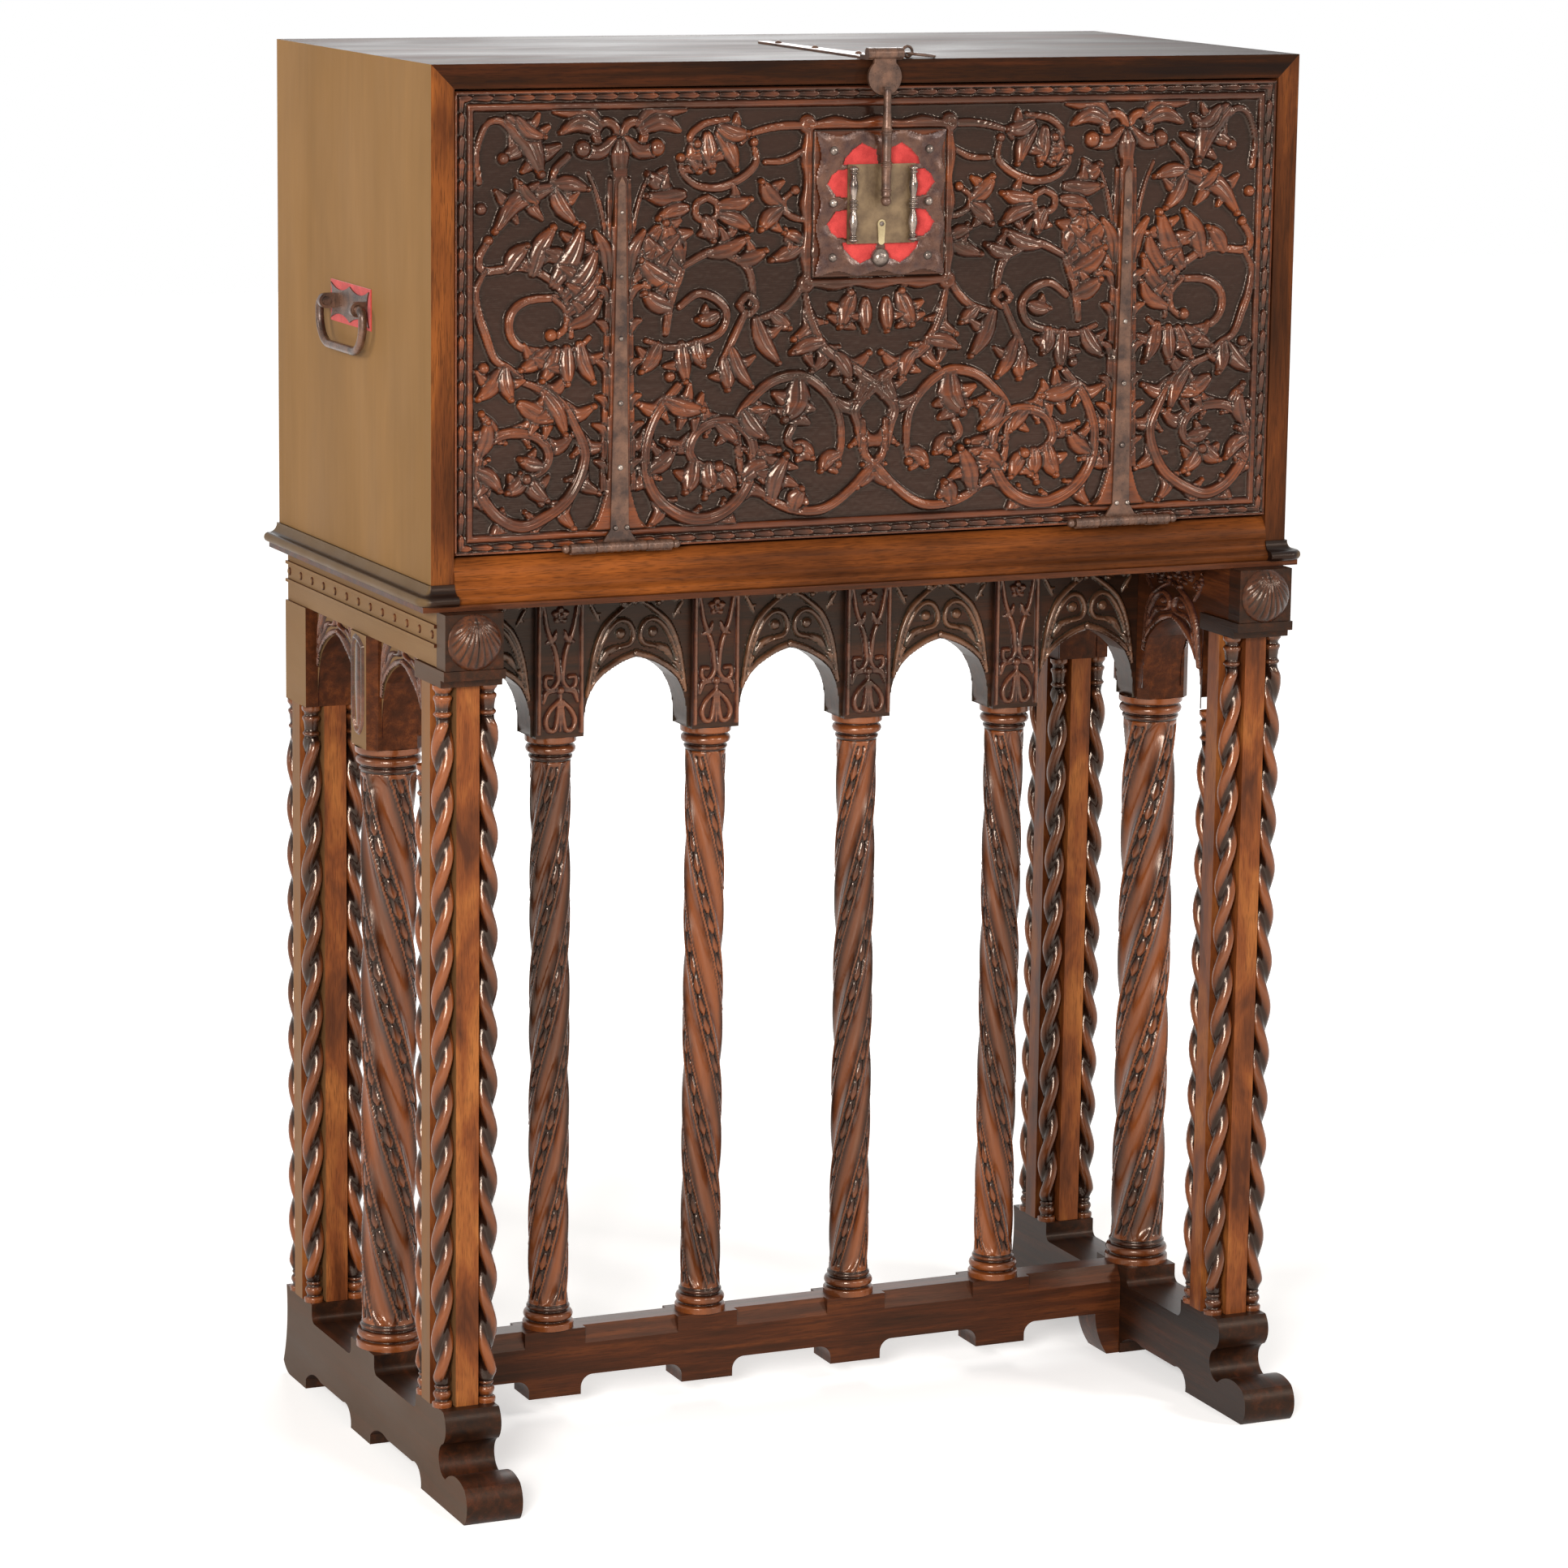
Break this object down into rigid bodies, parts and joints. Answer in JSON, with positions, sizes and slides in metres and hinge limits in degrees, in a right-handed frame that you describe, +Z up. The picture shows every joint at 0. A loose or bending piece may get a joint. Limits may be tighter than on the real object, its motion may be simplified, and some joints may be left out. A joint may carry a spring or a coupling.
{
  "type": "vargueno",
  "caption": "Fall-front writing chest with drawers on an open trestle stand of carved columns and arches, with pull-out supports.",
  "frame": {"origin": "middle of the bounding box on the floor under the feet", "axes": "+X to the right-hand end seen from the front, +Y to the back of the case, +Z up"},
  "size_m": [1.04, 0.597, 1.529],
  "materials": {
    "stand_wood": "dark polished carved walnut",
    "case_wood": "old olive-brown walnut, matt",
    "front_wood": "polished red-brown walnut",
    "ebonised_wood": "nearly black polished wood",
    "interior_wood": "satin walnut",
    "wrought_iron": "dark brown worn iron",
    "bronzed_iron": "brown iron with traces of gilding",
    "red_velvet": "red velvet",
    "pale_brass": "pale worn brass"
  },
  "bodies": {
    "case_and_stand": {"foot_left": "stand_wood", "foot_right": "stand_wood", "stretcher": "stand_wood", "post_front_left": "stand_wood", "post_front_right": "stand_wood", "post_back_left": "stand_wood", "post_back_right": "stand_wood", "post_caps": "stand_wood", "colonettes": "stand_wood", "column_end_left": "stand_wood", "column_end_right": "stand_wood", "column_arcade_1": "stand_wood", "column_arcade_2": "stand_wood", "column_arcade_3": "stand_wood", "column_arcade_4": "stand_wood", "arcade_beam": "stand_wood", "end_beam_left": "stand_wood", "end_beam_right": "stand_wood", "friezes": "stand_wood", "case_side_left": "case_wood", "case_side_right": "case_wood", "case_top": "case_wood", "case_back": "case_wood", "case_bottom": "case_wood", "sill": "front_wood", "base_mouldings": "ebonised_wood", "drawer_carcass": "interior_wood", "hinge_leaves": "wrought_iron", "hinge_pins": "wrought_iron", "top_strap": "wrought_iron", "top_studs": "wrought_iron", "handle_plates": "wrought_iron", "handle_velvets": "red_velvet", "handle_eyes": "wrought_iron"},
    "fall": {"fall_panel": "front_wood", "fall_border": "front_wood", "strap_hinge_left": "wrought_iron", "strap_hinge_right": "wrought_iron", "lock_plate": "bronzed_iron", "lock_velvet": "red_velvet", "escutcheon": "bronzed_iron", "lock_balusters": "wrought_iron", "lock_nails": "wrought_iron", "lock_case": "wrought_iron"},
    "hasp": {"hasp": "wrought_iron"},
    "keyhole_cover": {"keyhole_cover": "pale_brass"},
    "loper_left": {"loper_left": "stand_wood"},
    "loper_right": {"loper_right": "stand_wood"},
    "bail_left": {"bail_left": "wrought_iron"},
    "bail_right": {"bail_right": "wrought_iron"},
    "ring": {"ring_pull": "wrought_iron"},
    "drawer_lower_left": {"drawer_lower_left": "interior_wood"},
    "drawer_lower_centre": {"drawer_lower_centre": "interior_wood"},
    "drawer_lower_right": {"drawer_lower_right": "interior_wood"},
    "drawer_middle_left": {"drawer_middle_left": "interior_wood"},
    "drawer_middle_centre": {"drawer_middle_centre": "interior_wood"},
    "drawer_middle_right": {"drawer_middle_right": "interior_wood"},
    "drawer_upper_left": {"drawer_upper_left": "interior_wood"},
    "drawer_upper_centre": {"drawer_upper_centre": "interior_wood"},
    "drawer_upper_right": {"drawer_upper_right": "interior_wood"}
  },
  "joints": [
    {"name": "fall_hinge", "type": "hinge", "parent": "case_and_stand", "child": "fall", "pos_m": [0, -0.2135, 1.016], "axis": [1, 0, 0], "range_deg": [0, 90]},
    {"name": "hasp_hinge", "type": "hinge", "parent": "fall", "child": "hasp", "pos_m": [0, -0.214, 1.5215], "axis": [-1, 0, 0], "range_deg": [0, 180]},
    {"name": "keyhole_cover_pivot", "type": "hinge", "parent": "fall", "child": "keyhole_cover", "pos_m": [0, -0.213, 1.344], "axis": [0, 1, 0], "range_deg": [-90, 90]},
    {"name": "loper_left_slide", "type": "slide", "parent": "case_and_stand", "child": "loper_left", "axis": [0, -1, 0], "range_m": [0, 0.3]},
    {"name": "loper_right_slide", "type": "slide", "parent": "case_and_stand", "child": "loper_right", "axis": [0, -1, 0], "range_m": [0, 0.3]},
    {"name": "bail_left_hinge", "type": "hinge", "parent": "case_and_stand", "child": "bail_left", "pos_m": [-0.512, 0.038, 1.249], "axis": [0, 1, 0], "range_deg": [0, 160]},
    {"name": "bail_right_hinge", "type": "hinge", "parent": "case_and_stand", "child": "bail_right", "pos_m": [0.512, 0.038, 1.249], "axis": [0, -1, 0], "range_deg": [0, 160]},
    {"name": "ring_hinge", "type": "hinge", "parent": "case_and_stand", "child": "ring", "pos_m": [0.036, -0.193, 1.5201], "axis": [0, -1, 0], "range_deg": [0, 100]},
    {"name": "drawer_lower_left_slide", "type": "slide", "parent": "case_and_stand", "child": "drawer_lower_left", "axis": [0, -1, 0], "range_m": [0, 0.12]},
    {"name": "drawer_lower_centre_slide", "type": "slide", "parent": "case_and_stand", "child": "drawer_lower_centre", "axis": [0, -1, 0], "range_m": [0, 0.12]},
    {"name": "drawer_lower_right_slide", "type": "slide", "parent": "case_and_stand", "child": "drawer_lower_right", "axis": [0, -1, 0], "range_m": [0, 0.12]},
    {"name": "drawer_middle_left_slide", "type": "slide", "parent": "case_and_stand", "child": "drawer_middle_left", "axis": [0, -1, 0], "range_m": [0, 0.28]},
    {"name": "drawer_middle_centre_slide", "type": "slide", "parent": "case_and_stand", "child": "drawer_middle_centre", "axis": [0, -1, 0], "range_m": [0, 0.28]},
    {"name": "drawer_middle_right_slide", "type": "slide", "parent": "case_and_stand", "child": "drawer_middle_right", "axis": [0, -1, 0], "range_m": [0, 0.28]},
    {"name": "drawer_upper_left_slide", "type": "slide", "parent": "case_and_stand", "child": "drawer_upper_left", "axis": [0, -1, 0], "range_m": [0, 0.28]},
    {"name": "drawer_upper_centre_slide", "type": "slide", "parent": "case_and_stand", "child": "drawer_upper_centre", "axis": [0, -1, 0], "range_m": [0, 0.28]},
    {"name": "drawer_upper_right_slide", "type": "slide", "parent": "case_and_stand", "child": "drawer_upper_right", "axis": [0, -1, 0], "range_m": [0, 0.28]}
  ],
  "couplings": [
    {"joint": "drawer_lower_left_slide", "follows": "fall_hinge", "m_per_rad": 0.076394},
    {"joint": "drawer_lower_centre_slide", "follows": "fall_hinge", "m_per_rad": 0.076394},
    {"joint": "drawer_lower_right_slide", "follows": "fall_hinge", "m_per_rad": 0.076394},
    {"joint": "drawer_middle_left_slide", "follows": "fall_hinge", "m_per_rad": 0.17825},
    {"joint": "drawer_middle_centre_slide", "follows": "fall_hinge", "m_per_rad": 0.17825},
    {"joint": "drawer_middle_right_slide", "follows": "fall_hinge", "m_per_rad": 0.17825},
    {"joint": "drawer_upper_left_slide", "follows": "fall_hinge", "m_per_rad": 0.17825},
    {"joint": "drawer_upper_centre_slide", "follows": "fall_hinge", "m_per_rad": 0.17825},
    {"joint": "drawer_upper_right_slide", "follows": "fall_hinge", "m_per_rad": 0.17825}
  ]
}
